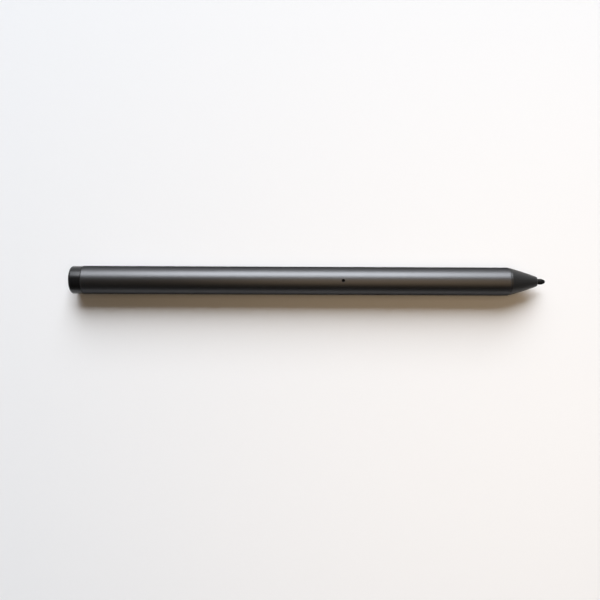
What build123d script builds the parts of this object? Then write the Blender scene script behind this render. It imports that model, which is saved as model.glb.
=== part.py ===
"""Active stylus pen that runs on one AAAA cell, lying on its side with the nib towards +X.

The origin is under the middle of the pen, on the surface that the barrel lies on, and +Z is up.
Places along the pen are X values, and heights in the cross-sections are counted from the pen's axis.
The cell sets the bore, and the nib's shank sets the chuck, the guide and the mouth of the nose cone.
Sizes are in millimetres.
"""

import os
from itertools import combinations

from build123d import *

# Fits that several pieces share
overrun = 1.0  # how far a cut runs past the faces that it opens
running_clearance = 0.05  # radial gap of what slides or turns
bond_clearance = 0.04  # radial gap of what is glued, pressed or clamped in place
seat_gap = 0.05  # end gap of what is seated along the pen
leaf_thickness = 0.2  # bronze strip of the contacts
wire_sides = 8  # sides of a spring's wire

# AAAA cell
cell_length = 42.5
cell_diameter = 8.1
cell_clearance = 0.2
cell_sleeve_wall = 0.08
cell_sleeve_lip = 0.6
cell_can_wall = 0.25
cell_edge_chamfer = 0.25
cell_button_diameter = 3.4
cell_button_height = 0.9
cell_button_chamfer = 0.25
cell_tail_gap = 0.6

# Barrel
barrel_length = 143.2
barrel_wall = 0.5
barrel_rim_chamfer = 0.12
indicator_from_front = 55.8
indicator_hole_diameter = 0.9

# Tail cap
cap_length = 4.2
cap_step = 0.17  # how far it stands back from the barrel's surface
cap_edge_chamfer = 0.48
cap_edge_break = 0.18
cap_front_chamfer = 0.12

# Threaded sleeve in the tail cap
sleeve_reach = 4.2
sleeve_root_step = 0.5
sleeve_root_length = 1.3
sleeve_wall = 0.85
sleeve_floor = 0.9
sleeve_lead_chamfer = 0.2

# Ring seal of the tail cap
seal_cord_diameter = 0.65
seal_cord_sides = 8
seal_from_rim = 0.5
seal_groove_slack = 0.12

# Conical contact spring in the tail cap
tail_spring_wire = 0.4
tail_spring_cup_gap = 0.3
tail_spring_small_diameter = 3.0
tail_spring_half_turns = 6

# Inner frame
frame_clearance = 0.1
frame_wall = 0.8
bulkhead_length = 4.0
spring_seat_wall = 1.2
sensor_wall = 1.0
boss_diameter = 2.2
boss_pilot_gap = 0.4

# Circuit board
board_underside = 0.7  # height over the axis
board_thickness = 0.8
board_ledge = 0.4  # how far it rests on each edge of the trough
board_end_gap = 0.6
board_corner_radius = 0.8

# Contacts on the board
contact_width = 2.4
contact_drop = 1.6
contact_tab = 2.2
contact_slot_clearance = 0.15
finger_width = 1.6
finger_root = 2.6
finger_run = 5.0
finger_toe = 1.0
finger_toe_rise = 0.6
finger_bore_gap = 0.15
finger_window_clearance = 0.5
finger_front_share = 0.60

# Parts on the board: front shares run from the indicator to the board's front end,
# and rear shares from the indicator to the rear screw
driver_chip_side = 4.0
driver_chip_height = 0.75
driver_chip_front_share = 0.26
controller_side = 5.0
controller_height = 0.85
controller_front_share = 0.55
crystal_length = 2.0
crystal_width = 1.6
crystal_height = 0.5
crystal_front_share = 0.70
inductor_side = 3.0
inductor_height = 1.2
inductor_edge_radius = 0.3
inductor_rear_share = 0.50
capacitor_length = 1.0
capacitor_width = 0.5
capacitor_height = 0.5
capacitor_row_offset = 2.3
capacitor_front_shares = (0.12, 0.40, 0.80)
capacitor_rear_shares = (0.30, 0.70)
led_length = 1.0
led_width = 0.6
led_height = 0.5

# Light pipe in the indicator hole
pipe_flange_step = 0.4
pipe_flange_height = 0.5
pipe_recess = 0.08
pipe_led_gap = 0.15

# Screws that hold the board on the frame
screw_diameter = 1.0
screw_length = 3.0
screw_head_diameter = 1.9
screw_head_height = 0.5
screw_slot_width = 0.25
screw_slot_depth = 0.25
screw_from_end = 5.5
screw_hole_clearance = 0.08

# Nib
nib_reach = 2.8
nib_shank_diameter = 1.46
nib_bulb_step = 0.22  # how far the bulb stands out from the shank
nib_bulb_nose = 1.45
nib_neck_length = 0.6
nib_seat_gap = 0.3
nib_tail_chamfer = 0.25

# Nose cone
cone_length = 9.8
cone_step = 0.12  # how far its base stands back from the barrel's surface
cone_belly = 0.1  # how far the middle of the flank stands out from a straight taper
cone_tip_land = 0.79  # width of the front face round the mouth, before it is chamfered
cone_tip_chamfer = 0.35
mouth_clearance = 0.13
spigot_length = 6.0
spigot_wall = 0.75
shoulder_depth = 1.0

# Guide and ring electrode in the nose cone
guide_flange = 2.0
guide_nose_length = 6.5
guide_wall = 0.6
electrode_length = 4.4
electrode_wall = 0.3

# Chuck that grips the nib and pushes on the force sensor
chuck_wall = 0.5
chuck_recess = 0.4
chuck_bore_depth = 6.3
chuck_slit_width = 0.3
chuck_slit_length = 4.0
chuck_flange_step = 0.45
chuck_flange_thickness = 0.6
plunger_diameter = 1.2
plunger_reach = 0.8
plunger_tip_chamfer = 0.25

# Return spring of the nib
spring_chamber_length = 4.6
spring_chamber_gap = 0.3
nib_spring_wire = 0.22
nib_spring_plunger_gap = 0.54
nib_spring_half_turns = 6
spring_end_gap = 0.03

# Force sensor
pad_diameter = 2.4
pad_thickness = 0.8
sensor_side = 3.6
sensor_thickness = 1.0
sensor_corner_radius = 0.4
sensor_board_thickness = 0.8
flex_width = 2.0
flex_thickness = 0.15
flex_rise = 0.6
flex_lap = 3.0

# Places along the pen
total_length = cap_length + barrel_length + cone_length + nib_reach
tail_end = -total_length / 2
barrel_rear = tail_end + cap_length
barrel_front = barrel_rear + barrel_length
cone_front = barrel_front + cone_length
nib_tip = cone_front + nib_reach
cap_front = barrel_rear - seat_gap
sleeve_rear = cap_front - sleeve_root_length
sleeve_cup_floor = sleeve_rear + sleeve_floor
sleeve_front = barrel_rear + sleeve_reach
seal_x = barrel_rear + seal_from_rim + seal_cord_diameter / 2
cell_rear = sleeve_front + cell_tail_gap
cell_front = cell_rear + cell_length
cell_can_front = cell_front - cell_button_height
bulkhead_rear = cell_front + leaf_thickness
bulkhead_front = bulkhead_rear + bulkhead_length
shoulder = barrel_front - shoulder_depth
spigot_rear = barrel_front - spigot_length
guide_rear = shoulder - guide_flange
guide_front = shoulder + guide_nose_length
chuck_front = guide_front - chuck_recess
chuck_bore_floor = chuck_front - chuck_bore_depth
chuck_flange_rear = guide_rear - chuck_flange_thickness
spring_seat = guide_rear - spring_chamber_length
spring_seat_rear = spring_seat - spring_seat_wall
plunger_end = spring_seat_rear - plunger_reach
sensor_front = plunger_end - pad_thickness
sensor_board_front = sensor_front - sensor_thickness
sensor_board_rear = sensor_board_front - sensor_board_thickness
sensor_wall_rear = sensor_board_rear - sensor_wall
board_front = sensor_wall_rear - board_end_gap
board_rear = bulkhead_front + board_end_gap
board_length = board_front - board_rear
indicator_x = barrel_front - indicator_from_front
screw_xs = (board_rear + screw_from_end, board_front - screw_from_end)
front_stretch = board_front - indicator_x
rear_stretch = indicator_x - screw_xs[0]
finger_x = indicator_x + finger_front_share * front_stretch
finger_bend = finger_x - finger_root
finger_end = finger_bend - finger_run - finger_toe

# Radii, counted from the axis
bore_radius = cell_diameter / 2 + cell_clearance
barrel_radius = bore_radius + barrel_wall
can_radius = cell_diameter / 2 - cell_sleeve_wall
cap_radius = barrel_radius - cap_step
sleeve_radius = bore_radius - running_clearance
sleeve_root_radius = sleeve_radius - sleeve_root_step
sleeve_cup_radius = sleeve_root_radius - sleeve_wall
seal_ring_radius = bore_radius - running_clearance / 2 - seal_cord_diameter / 2
seal_groove_radius = seal_ring_radius - seal_cord_diameter / 2 - running_clearance / 2
tail_spring_radius = sleeve_cup_radius - tail_spring_cup_gap - tail_spring_wire / 2
frame_radius = bore_radius - frame_clearance
trough_radius = frame_radius - frame_wall
spigot_radius = bore_radius - bond_clearance
spigot_bore_radius = spigot_radius - spigot_wall
spigot_fit_radius = spigot_bore_radius - bond_clearance
cone_base_radius = barrel_radius - cone_step
nib_shank_radius = nib_shank_diameter / 2
nib_bulb_radius = nib_shank_radius + nib_bulb_step
mouth_radius = nib_shank_radius + mouth_clearance
cone_tip_radius = mouth_radius + cone_tip_land
chuck_bore_radius = nib_shank_radius + running_clearance / 2
chuck_radius = chuck_bore_radius + chuck_wall
chuck_flange_radius = chuck_radius + chuck_flange_step
plunger_radius = plunger_diameter / 2
guide_bore_radius = chuck_radius + running_clearance
guide_nose_radius = guide_bore_radius + guide_wall
guide_seat_radius = guide_nose_radius + bond_clearance
electrode_radius = guide_seat_radius + electrode_wall
electrode_seat_radius = electrode_radius + bond_clearance
spring_chamber_radius = chuck_flange_radius + spring_chamber_gap
nib_spring_radius = plunger_radius + nib_spring_plunger_gap + nib_spring_wire / 2
sensor_board_radius = trough_radius - bond_clearance
pipe_radius = indicator_hole_diameter / 2 - bond_clearance
pipe_flange_radius = pipe_radius + pipe_flange_step

# Heights over the axis, and the axis over the surface below
axis_height = barrel_radius
board_top = board_underside + board_thickness
led_top = board_top + led_height
flex_height = board_top + flex_thickness / 2
flex_top = flex_height + flex_rise
contact_height = board_top + leaf_thickness / 2
finger_high = board_underside - leaf_thickness / 2
finger_low = -(bore_radius - leaf_thickness - finger_bore_gap)
pipe_flange_top = (bore_radius**2 - pipe_flange_radius**2) ** 0.5 - bond_clearance
board_width = 2 * ((trough_radius**2 - board_underside**2) ** 0.5 + board_ledge)

pen_axis = Axis((0, 0, axis_height), (1, 0, 0))
lengthwise = Plane(origin=(0, 0, axis_height), x_dir=(1, 0, 0), z_dir=(0, -1, 0))
screw_places = [(x, 0) for x in screw_xs]
above = (Align.CENTER, Align.MIN)


def across(x):
    """The plane square to the pen at x: its centre is on the axis, and its Y is up."""
    return Plane(origin=(x, 0, axis_height), x_dir=(0, 1, 0), z_dir=(1, 0, 0))


def level(height):
    """The plane at a height over the axis, with X along the pen."""
    return Plane.XY.offset(axis_height + height)


def coil_points(rear, front, rear_radius, front_radius, half_turns):
    """Where a coil round the axis crosses its two sides, one point for each half turn."""
    points = []
    for i in range(half_turns + 1):
        share = i / half_turns
        radius = rear_radius + share * (front_radius - rear_radius)
        side = radius if i % 2 == 0 else -radius
        points.append(Vector(rear + share * (front - rear), side, axis_height))
    return points


def half_turn_middle(start, end, index):
    """The top or bottom of a half turn, whose plane holds its two ends and the vertical."""
    rise = (end - start).length / 2
    return (start + end) / 2 + Vector(0, 0, rise if index % 2 == 0 else -rise)


def print_least_gap(name, path, wire, samples=400):
    """Prints the least gap between the turns of a coil, measured on points over half a turn apart."""
    points = [path @ (i / samples) for i in range(samples + 1)]
    step = path.length / samples
    half_turn = max(edge.length for edge in path.edges())
    gap = min(
        (points[i] - points[j]).length - wire
        for i, j in combinations(range(samples + 1), 2)
        if (j - i) * step > half_turn
    )
    print(f"{name}: least gap between turns {gap:.2f} mm")


# Barrel: a plain tube, chamfered at both rims, with the indicator hole at the top
with BuildPart() as barrel:
    with BuildSketch(across(barrel_rear)):
        Circle(barrel_radius)
        Circle(bore_radius, mode=Mode.SUBTRACT)
    extrude(amount=barrel_length)
    outer_rims = barrel.edges().filter_by(GeomType.CIRCLE).group_by(SortBy.RADIUS)[-1]
    chamfer(outer_rims, barrel_rim_chamfer)
    with BuildSketch(level(barrel_radius + overrun)):
        with Locations((indicator_x, 0)):
            Circle(indicator_hole_diameter / 2)
    extrude(amount=-(overrun + barrel_radius), mode=Mode.SUBTRACT)
barrel.part.label = "barrel"

# Tail cap: a rounded knob, hollowed for the root of the sleeve
with BuildPart() as tail_cap:
    with BuildSketch(across(cap_front)):
        Circle(cap_radius)
    extrude(amount=tail_end - cap_front)
    rims = tail_cap.edges().filter_by(GeomType.CIRCLE).sort_by(Axis.X)
    chamfer(rims[-1], cap_front_chamfer)
    chamfer(rims[0], cap_edge_chamfer)
    broken_rims = tail_cap.edges().filter_by(GeomType.CIRCLE).sort_by(Axis.X)[:2]
    chamfer(broken_rims, cap_edge_break)
    with BuildSketch(across(cap_front)):
        Circle(sleeve_root_radius + bond_clearance)
    extrude(amount=-(sleeve_root_length + seat_gap), mode=Mode.SUBTRACT)
tail_cap.part.label = "tail_cap"

# Threaded sleeve: a cup for the spring, with a root in the cap and a groove for the seal
with BuildPart() as cap_thread_sleeve:
    with BuildSketch(across(sleeve_rear)):
        Circle(sleeve_root_radius)
    extrude(amount=sleeve_root_length)
    with BuildSketch(across(cap_front)):
        Circle(sleeve_radius)
    extrude(amount=sleeve_front - cap_front)
    lead_rim = cap_thread_sleeve.edges().filter_by(GeomType.CIRCLE).sort_by(Axis.X)[-1]
    chamfer(lead_rim, sleeve_lead_chamfer)
    with BuildSketch(across(sleeve_cup_floor)):
        Circle(sleeve_cup_radius)
    extrude(amount=sleeve_front - sleeve_cup_floor, mode=Mode.SUBTRACT)
    with BuildSketch(across(seal_x)):
        Circle(sleeve_radius + overrun)
        Circle(seal_groove_radius, mode=Mode.SUBTRACT)
    extrude(amount=(seal_cord_diameter + seal_groove_slack) / 2, both=True, mode=Mode.SUBTRACT)
cap_thread_sleeve.part.label = "cap_thread_sleeve"

# Ring seal in the sleeve's groove
with BuildPart() as cap_seal:
    with BuildSketch(lengthwise):
        with Locations((seal_x, seal_ring_radius)):
            RegularPolygon(seal_cord_diameter / 2, seal_cord_sides)
    revolve(axis=pen_axis)
cap_seal.part.label = "cap_seal"

# Conical spring from the cup's floor to the cell's flat end
tail_spring_points = coil_points(
    sleeve_cup_floor + tail_spring_wire / 2 + spring_end_gap,
    cell_rear - tail_spring_wire / 2 - spring_end_gap,
    tail_spring_radius,
    tail_spring_small_diameter / 2,
    tail_spring_half_turns,
)
with BuildPart() as tail_spring:
    with BuildLine() as tail_spring_path:
        for i in range(tail_spring_half_turns):
            start = tail_spring_points[i]
            end = tail_spring_points[i + 1]
            ThreePointArc(start, half_turn_middle(start, end, i), end)
    with BuildSketch(Plane(tail_spring_path.line @ 0, z_dir=tail_spring_path.line % 0)):
        RegularPolygon(tail_spring_wire / 2, wire_sides)
    sweep()
tail_spring.part.label = "tail_spring"
print_least_gap("tail_spring", tail_spring_path.wire(), tail_spring_wire)

# Cell: a drawn can with its fill, the positive cap at its front and a shrunk sleeve round it
cell_fill_radius = can_radius - cell_can_wall
cell_fill_length = cell_can_front - cell_rear - 2 * cell_can_wall
with BuildPart() as battery_can:
    with BuildSketch(across(cell_rear)):
        Circle(can_radius)
    extrude(amount=cell_can_front - cell_rear)
    chamfer(battery_can.edges().filter_by(GeomType.CIRCLE), cell_edge_chamfer)
    with BuildSketch(across(cell_rear + cell_can_wall)):
        Circle(cell_fill_radius)
    extrude(amount=cell_fill_length, mode=Mode.SUBTRACT)
battery_can.part.label = "battery_can"

with BuildPart() as battery_fill:
    with BuildSketch(across(cell_rear + cell_can_wall)):
        Circle(cell_fill_radius)
    extrude(amount=cell_fill_length)
battery_fill.part.label = "battery_fill"

with BuildPart() as battery_positive_cap:
    with BuildSketch(across(cell_can_front)):
        Circle(cell_button_diameter / 2)
    extrude(amount=cell_button_height)
    button_rim = battery_positive_cap.edges().filter_by(GeomType.CIRCLE).sort_by(Axis.X)[-1]
    chamfer(button_rim, cell_button_chamfer)
battery_positive_cap.part.label = "battery_positive_cap"

with BuildPart() as battery_sleeve:
    with BuildSketch(across(cell_rear + cell_sleeve_lip)):
        Circle(cell_diameter / 2)
        Circle(can_radius, mode=Mode.SUBTRACT)
    extrude(amount=cell_can_front - cell_rear - 2 * cell_sleeve_lip)
battery_sleeve.part.label = "battery_sleeve"

# Inner frame: a trough under the board, between a bulkhead for the cell and a nose for the nib's spring
with BuildPart() as inner_frame:
    with BuildSketch(across(bulkhead_rear)):
        Circle(frame_radius)
        Circle(trough_radius, mode=Mode.SUBTRACT)
        with Locations((0, board_underside)):
            Rectangle(2 * barrel_radius, barrel_radius, align=above, mode=Mode.SUBTRACT)
    extrude(amount=spring_seat_rear - bulkhead_rear)
    with BuildSketch(across(sensor_wall_rear)):
        Circle((trough_radius + frame_radius) / 2)
        with Locations((0, board_underside)):
            Rectangle(2 * barrel_radius, barrel_radius, align=above, mode=Mode.SUBTRACT)
    extrude(amount=sensor_wall)
    with BuildSketch(across(bulkhead_rear)):
        Circle(frame_radius)
        with Locations((0, board_top - leaf_thickness / 2)):
            slot_width = contact_width + 2 * contact_slot_clearance
            Rectangle(slot_width, barrel_radius, align=above, mode=Mode.SUBTRACT)
    extrude(amount=bulkhead_length)
    with BuildSketch(across(spring_seat_rear)):
        Circle(frame_radius)
    extrude(amount=spigot_rear - seat_gap - spring_seat_rear)
    with BuildSketch(across(spring_seat)):
        Circle(spigot_fit_radius)
    extrude(amount=guide_rear - spring_seat)
    with BuildSketch(across(spring_seat)):
        Circle(spring_chamber_radius)
    extrude(amount=guide_rear - spring_seat, mode=Mode.SUBTRACT)
    with BuildSketch(across(spring_seat)):
        Circle(plunger_radius + running_clearance)
    extrude(amount=-spring_seat_wall, mode=Mode.SUBTRACT)
    with BuildSketch(level(board_underside)):
        with Locations(*screw_places):
            Circle(boss_diameter / 2)
    extrude(amount=-(board_underside + trough_radius + frame_wall / 2))
    with BuildSketch(level(board_underside)):
        with Locations(*screw_places):
            Circle(screw_diameter / 2 + bond_clearance)
    extrude(amount=-(screw_length - board_thickness + boss_pilot_gap), mode=Mode.SUBTRACT)
    with BuildSketch(level(0)):
        with Locations(((finger_bend + finger_end) / 2, 0)):
            window_length = finger_run + finger_toe + 2 * finger_window_clearance
            Rectangle(window_length, finger_width + 2 * finger_window_clearance)
    extrude(amount=-barrel_radius, mode=Mode.SUBTRACT)
inner_frame.part.label = "inner_frame"

# Circuit board on the trough's edges, with its parts
with BuildPart() as circuit_board:
    with BuildSketch(level(board_underside)):
        with Locations(((board_rear + board_front) / 2, 0)):
            RectangleRounded(board_length, board_width, board_corner_radius)
        with Locations(*screw_places):
            Circle(screw_diameter / 2 + screw_hole_clearance, mode=Mode.SUBTRACT)
    extrude(amount=board_thickness)
circuit_board.part.label = "circuit_board"

with BuildPart() as pen_driver_chip:
    with BuildSketch(level(board_top)):
        with Locations((indicator_x + driver_chip_front_share * front_stretch, 0)):
            Rectangle(driver_chip_side, driver_chip_side)
    extrude(amount=driver_chip_height)
pen_driver_chip.part.label = "pen_driver_chip"

with BuildPart() as controller_chip:
    with BuildSketch(level(board_top)):
        with Locations((indicator_x + controller_front_share * front_stretch, 0)):
            Rectangle(controller_side, controller_side)
    extrude(amount=controller_height)
controller_chip.part.label = "controller_chip"

with BuildPart() as clock_crystal:
    with BuildSketch(level(board_top)):
        with Locations((indicator_x + crystal_front_share * front_stretch, 0)):
            Rectangle(crystal_length, crystal_width)
    extrude(amount=crystal_height)
clock_crystal.part.label = "clock_crystal"

with BuildPart() as boost_inductor:
    with BuildSketch(level(board_top)):
        with Locations((indicator_x - inductor_rear_share * rear_stretch, 0)):
            RectangleRounded(inductor_side, inductor_side, inductor_edge_radius)
    extrude(amount=inductor_height)
boost_inductor.part.label = "boost_inductor"

capacitor_xs = [indicator_x + share * front_stretch for share in capacitor_front_shares]
capacitor_xs += [indicator_x - share * rear_stretch for share in capacitor_rear_shares]
with BuildPart() as ceramic_capacitors:
    with BuildSketch(level(board_top)):
        for x in capacitor_xs:
            with Locations((x, capacitor_row_offset), (x, -capacitor_row_offset)):
                Rectangle(capacitor_length, capacitor_width)
    extrude(amount=capacitor_height)
ceramic_capacitors.part.label = "ceramic_capacitors"

with BuildPart() as indicator_led:
    with BuildSketch(level(board_top)):
        with Locations((indicator_x, 0)):
            Rectangle(led_length, led_width)
    extrude(amount=led_height)
indicator_led.part.label = "indicator_led"

# Light pipe: a flanged pin from over the LED to just under the barrel's surface
with BuildPart() as light_pipe:
    with BuildSketch(level(led_top + pipe_led_gap)):
        with Locations((indicator_x, 0)):
            Circle(pipe_radius)
    extrude(amount=barrel_radius - pipe_recess - led_top - pipe_led_gap)
    with BuildSketch(level(pipe_flange_top)):
        with Locations((indicator_x, 0)):
            Circle(pipe_flange_radius)
    extrude(amount=-pipe_flange_height)
light_pipe.part.label = "light_pipe"

# Screws through the board into the frame's bosses
with BuildPart() as board_screws:
    with BuildSketch(level(board_top)):
        with Locations(*screw_places):
            Circle(screw_head_diameter / 2)
    extrude(amount=screw_head_height)
    with BuildSketch(level(board_top + screw_head_height)):
        with Locations(*screw_places):
            Rectangle(screw_head_diameter + overrun, screw_slot_width)
    extrude(amount=-screw_slot_depth, mode=Mode.SUBTRACT)
    with BuildSketch(level(board_top)):
        with Locations(*screw_places):
            Circle(screw_diameter / 2)
    extrude(amount=-screw_length)
board_screws.part.label = "board_screws"

# Positive contact: a strip that stands between the cell and the bulkhead and laps onto the board
contact_x = cell_front + leaf_thickness / 2
with BuildPart() as positive_contact:
    with BuildSketch(lengthwise):
        with BuildLine():
            Polyline(
                (contact_x, -contact_drop),
                (contact_x, contact_height),
                (board_rear + contact_tab, contact_height),
            )
        trace(line_width=leaf_thickness)
    extrude(amount=contact_width / 2, both=True)
positive_contact.part.label = "positive_contact"

# Ground finger: a leaf under the board that reaches through the trough to the barrel's bore
with BuildPart() as ground_finger:
    with BuildSketch(lengthwise):
        with BuildLine():
            Polyline(
                (finger_x, finger_high),
                (finger_bend, finger_high),
                (finger_bend - finger_run, finger_low),
                (finger_end, finger_low + finger_toe_rise),
            )
        trace(line_width=leaf_thickness)
    extrude(amount=finger_width / 2, both=True)
ground_finger.part.label = "ground_finger"

# Nose cone: a taper in two runs on a hollow spigot, stepped inside for the guide and the electrode
electrode_front = shoulder + electrode_length + seat_gap
guide_seat_front = guide_front + seat_gap
with BuildPart() as nose_cone:
    with BuildSketch(lengthwise):
        with BuildLine():
            Polyline(
                (cone_front, cone_tip_radius),
                (cone_front, mouth_radius),
                (guide_seat_front, mouth_radius),
                (guide_seat_front, guide_seat_radius),
                (electrode_front, guide_seat_radius),
                (electrode_front, electrode_seat_radius),
                (shoulder, electrode_seat_radius),
                (shoulder, spigot_bore_radius),
                (spigot_rear, spigot_bore_radius),
                (spigot_rear, spigot_radius),
                (barrel_front, spigot_radius),
                (barrel_front, cone_base_radius),
                ((barrel_front + cone_front) / 2, (cone_base_radius + cone_tip_radius) / 2 + cone_belly),
                close=True,
            )
        make_face()
    revolve(axis=pen_axis)
    front_rims = nose_cone.edges().filter_by(GeomType.CIRCLE).group_by(Axis.X)[-1]
    chamfer(front_rims.sort_by(SortBy.RADIUS)[-1], cone_tip_chamfer)
nose_cone.part.label = "nose_cone"

# Guide: a flanged bush, clamped between the cone's shoulder and the frame
with BuildPart() as nib_guide:
    with BuildSketch(across(guide_rear)):
        Circle(spigot_fit_radius)
    extrude(amount=guide_flange)
    with BuildSketch(across(shoulder)):
        Circle(guide_nose_radius)
    extrude(amount=guide_nose_length)
    with BuildSketch(across(guide_rear)):
        Circle(guide_bore_radius)
    extrude(amount=guide_front - guide_rear, mode=Mode.SUBTRACT)
nib_guide.part.label = "nib_guide"

# Ring electrode round the guide
with BuildPart() as ring_electrode:
    with BuildSketch(across(shoulder)):
        Circle(electrode_radius)
        Circle(guide_seat_radius, mode=Mode.SUBTRACT)
    extrude(amount=electrode_length)
ring_electrode.part.label = "ring_electrode"

# Chuck: a slit collet for the nib, a flange for the spring and a plunger for the sensor
with BuildPart() as nib_chuck:
    with BuildSketch(across(chuck_flange_rear)):
        Circle(chuck_flange_radius)
    extrude(amount=chuck_flange_thickness)
    with BuildSketch(across(guide_rear)):
        Circle(chuck_radius)
    extrude(amount=chuck_front - guide_rear)
    with BuildSketch(across(chuck_bore_floor)):
        Circle(chuck_bore_radius)
    extrude(amount=chuck_bore_depth, mode=Mode.SUBTRACT)
    with BuildSketch(across(chuck_front)):
        Rectangle(chuck_slit_width, 2 * chuck_radius + overrun)
        Rectangle(2 * chuck_radius + overrun, chuck_slit_width)
    extrude(amount=-chuck_slit_length, mode=Mode.SUBTRACT)
    with BuildSketch(across(chuck_flange_rear)):
        Circle(plunger_radius)
    extrude(amount=plunger_end - chuck_flange_rear)
    plunger_rim = nib_chuck.edges().filter_by(GeomType.CIRCLE).sort_by(Axis.X)[0]
    chamfer(plunger_rim, plunger_tip_chamfer)
nib_chuck.part.label = "nib_chuck"

# Return spring between the frame's seat and the chuck's flange
nib_spring_points = coil_points(
    spring_seat + nib_spring_wire / 2 + spring_end_gap,
    chuck_flange_rear - nib_spring_wire / 2 - spring_end_gap,
    nib_spring_radius,
    nib_spring_radius,
    nib_spring_half_turns,
)
with BuildPart() as nib_spring:
    with BuildLine() as nib_spring_path:
        for i in range(nib_spring_half_turns):
            start = nib_spring_points[i]
            end = nib_spring_points[i + 1]
            ThreePointArc(start, half_turn_middle(start, end, i), end)
    with BuildSketch(Plane(nib_spring_path.line @ 0, z_dir=nib_spring_path.line % 0)):
        RegularPolygon(nib_spring_wire / 2, wire_sides)
    sweep()
nib_spring.part.label = "nib_spring"
print_least_gap("nib_spring", nib_spring_path.wire(), nib_spring_wire)

# Nib: a rounded bulb on a neck and a long shank
bulb_x = nib_tip - nib_bulb_nose
neck_x = cone_front + nib_neck_length
nib_tail = chuck_bore_floor + nib_seat_gap
with BuildPart() as nib:
    with BuildSketch(lengthwise):
        with BuildLine():
            Polyline(
                (nib_tip, 0),
                (nib_tail, 0),
                (nib_tail, nib_shank_radius - nib_tail_chamfer),
                (nib_tail + nib_tail_chamfer, nib_shank_radius),
                (neck_x, nib_shank_radius),
                (bulb_x, nib_bulb_radius),
            )
            EllipticalCenterArc((bulb_x, 0), nib_bulb_nose, nib_bulb_radius)
        make_face()
    revolve(axis=pen_axis)
nib.part.label = "nib"

# Force sensor: a puck on a round board, with a soft pad for the plunger
with BuildPart() as sensor_pad:
    with BuildSketch(across(sensor_front)):
        Circle(pad_diameter / 2)
    extrude(amount=pad_thickness)
sensor_pad.part.label = "sensor_pad"

with BuildPart() as force_sensor:
    with BuildSketch(across(sensor_board_front)):
        RectangleRounded(sensor_side, sensor_side, sensor_corner_radius)
    extrude(amount=sensor_thickness)
force_sensor.part.label = "force_sensor"

with BuildPart() as sensor_board:
    with BuildSketch(across(sensor_board_rear)):
        Circle(sensor_board_radius)
        with Locations((0, flex_top)):
            Rectangle(2 * sensor_board_radius, sensor_board_radius, align=above, mode=Mode.SUBTRACT)
    extrude(amount=sensor_board_thickness)
sensor_board.part.label = "sensor_board"

# Flat cable from the sensor's board to the main board
flex_x = sensor_board_rear - flex_thickness / 2
with BuildPart() as sensor_flex:
    with BuildSketch(lengthwise):
        with BuildLine():
            Polyline((flex_x, flex_top), (flex_x, flex_height), (board_front - flex_lap, flex_height))
        trace(line_width=flex_thickness)
    extrude(amount=flex_width / 2, both=True)
sensor_flex.part.label = "sensor_flex"

pieces = [
    barrel,
    tail_cap,
    cap_thread_sleeve,
    cap_seal,
    tail_spring,
    battery_can,
    battery_fill,
    battery_positive_cap,
    battery_sleeve,
    inner_frame,
    circuit_board,
    pen_driver_chip,
    controller_chip,
    clock_crystal,
    boost_inductor,
    ceramic_capacitors,
    indicator_led,
    light_pipe,
    board_screws,
    positive_contact,
    ground_finger,
    nose_cone,
    nib_guide,
    ring_electrode,
    nib_chuck,
    nib_spring,
    nib,
    sensor_pad,
    force_sensor,
    sensor_board,
    sensor_flex,
]
os.makedirs("parts", exist_ok=True)
for piece in pieces:
    export_step(piece.part, f"parts/{piece.part.label}.step")
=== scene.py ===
"""Dresses a packed stylus pen: builds its pieces, finishes and stage round the CAD frame.

Everything is in metres in the frame of the CAD model: the pen lies along X with its nib towards +X.
"""

from math import atan2, ceil, cos, pi, radians, sin, sqrt, tan, tau

import bmesh
import bpy
from bpy.props import FloatProperty, FloatVectorProperty, IntProperty, PointerProperty
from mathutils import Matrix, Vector


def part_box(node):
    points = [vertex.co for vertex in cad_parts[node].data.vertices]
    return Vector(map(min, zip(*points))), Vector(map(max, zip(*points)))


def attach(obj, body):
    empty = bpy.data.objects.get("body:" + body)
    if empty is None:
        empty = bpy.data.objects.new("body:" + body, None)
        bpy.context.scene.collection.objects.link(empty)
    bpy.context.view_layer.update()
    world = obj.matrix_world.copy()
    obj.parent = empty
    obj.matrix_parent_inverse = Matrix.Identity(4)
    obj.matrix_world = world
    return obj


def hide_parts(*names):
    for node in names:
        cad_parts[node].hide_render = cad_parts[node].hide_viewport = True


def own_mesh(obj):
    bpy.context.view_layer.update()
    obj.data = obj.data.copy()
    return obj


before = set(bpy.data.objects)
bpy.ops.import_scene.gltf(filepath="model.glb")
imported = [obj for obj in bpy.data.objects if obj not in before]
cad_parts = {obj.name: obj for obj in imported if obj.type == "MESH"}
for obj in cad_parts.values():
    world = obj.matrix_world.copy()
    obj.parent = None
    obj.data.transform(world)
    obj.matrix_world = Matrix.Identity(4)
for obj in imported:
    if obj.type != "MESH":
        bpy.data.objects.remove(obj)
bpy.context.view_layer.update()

bl_info = {
    "name": "Stylus pen",
    "version": (1, 0, 0),
    "blender": (4, 5, 0),
    "location": "View3D > Sidebar > Stylus pen",
    "description": "Builds an active stylus pen round its CAD frame",
    "category": "Object",
}

MM = 0.001
SHARP_ANGLE = radians(32)  # edges that turn by more than this stay crisp
FIT = 0.04 * MM  # radial gap of what is pressed or glued in place
SEAT = 0.05 * MM  # end gap of what is seated along the pen
EDGE = 0.05 * MM  # rounding of a small edge
THREAD_STEP = 0.02 * MM  # distance between the rows of a thread
CELL_SEGMENTS = NIB_SEGMENTS = 96  # sides of turned pieces, where PenShape doesn't say
SMALL_SEGMENTS = 64
ROD_SEGMENTS = 48
BLACK = (0.0, 0.0, 0.0)


def span(node):
    """Where a CAD node starts and ends along the pen."""
    low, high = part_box(node)
    return low.x, high.x


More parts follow.
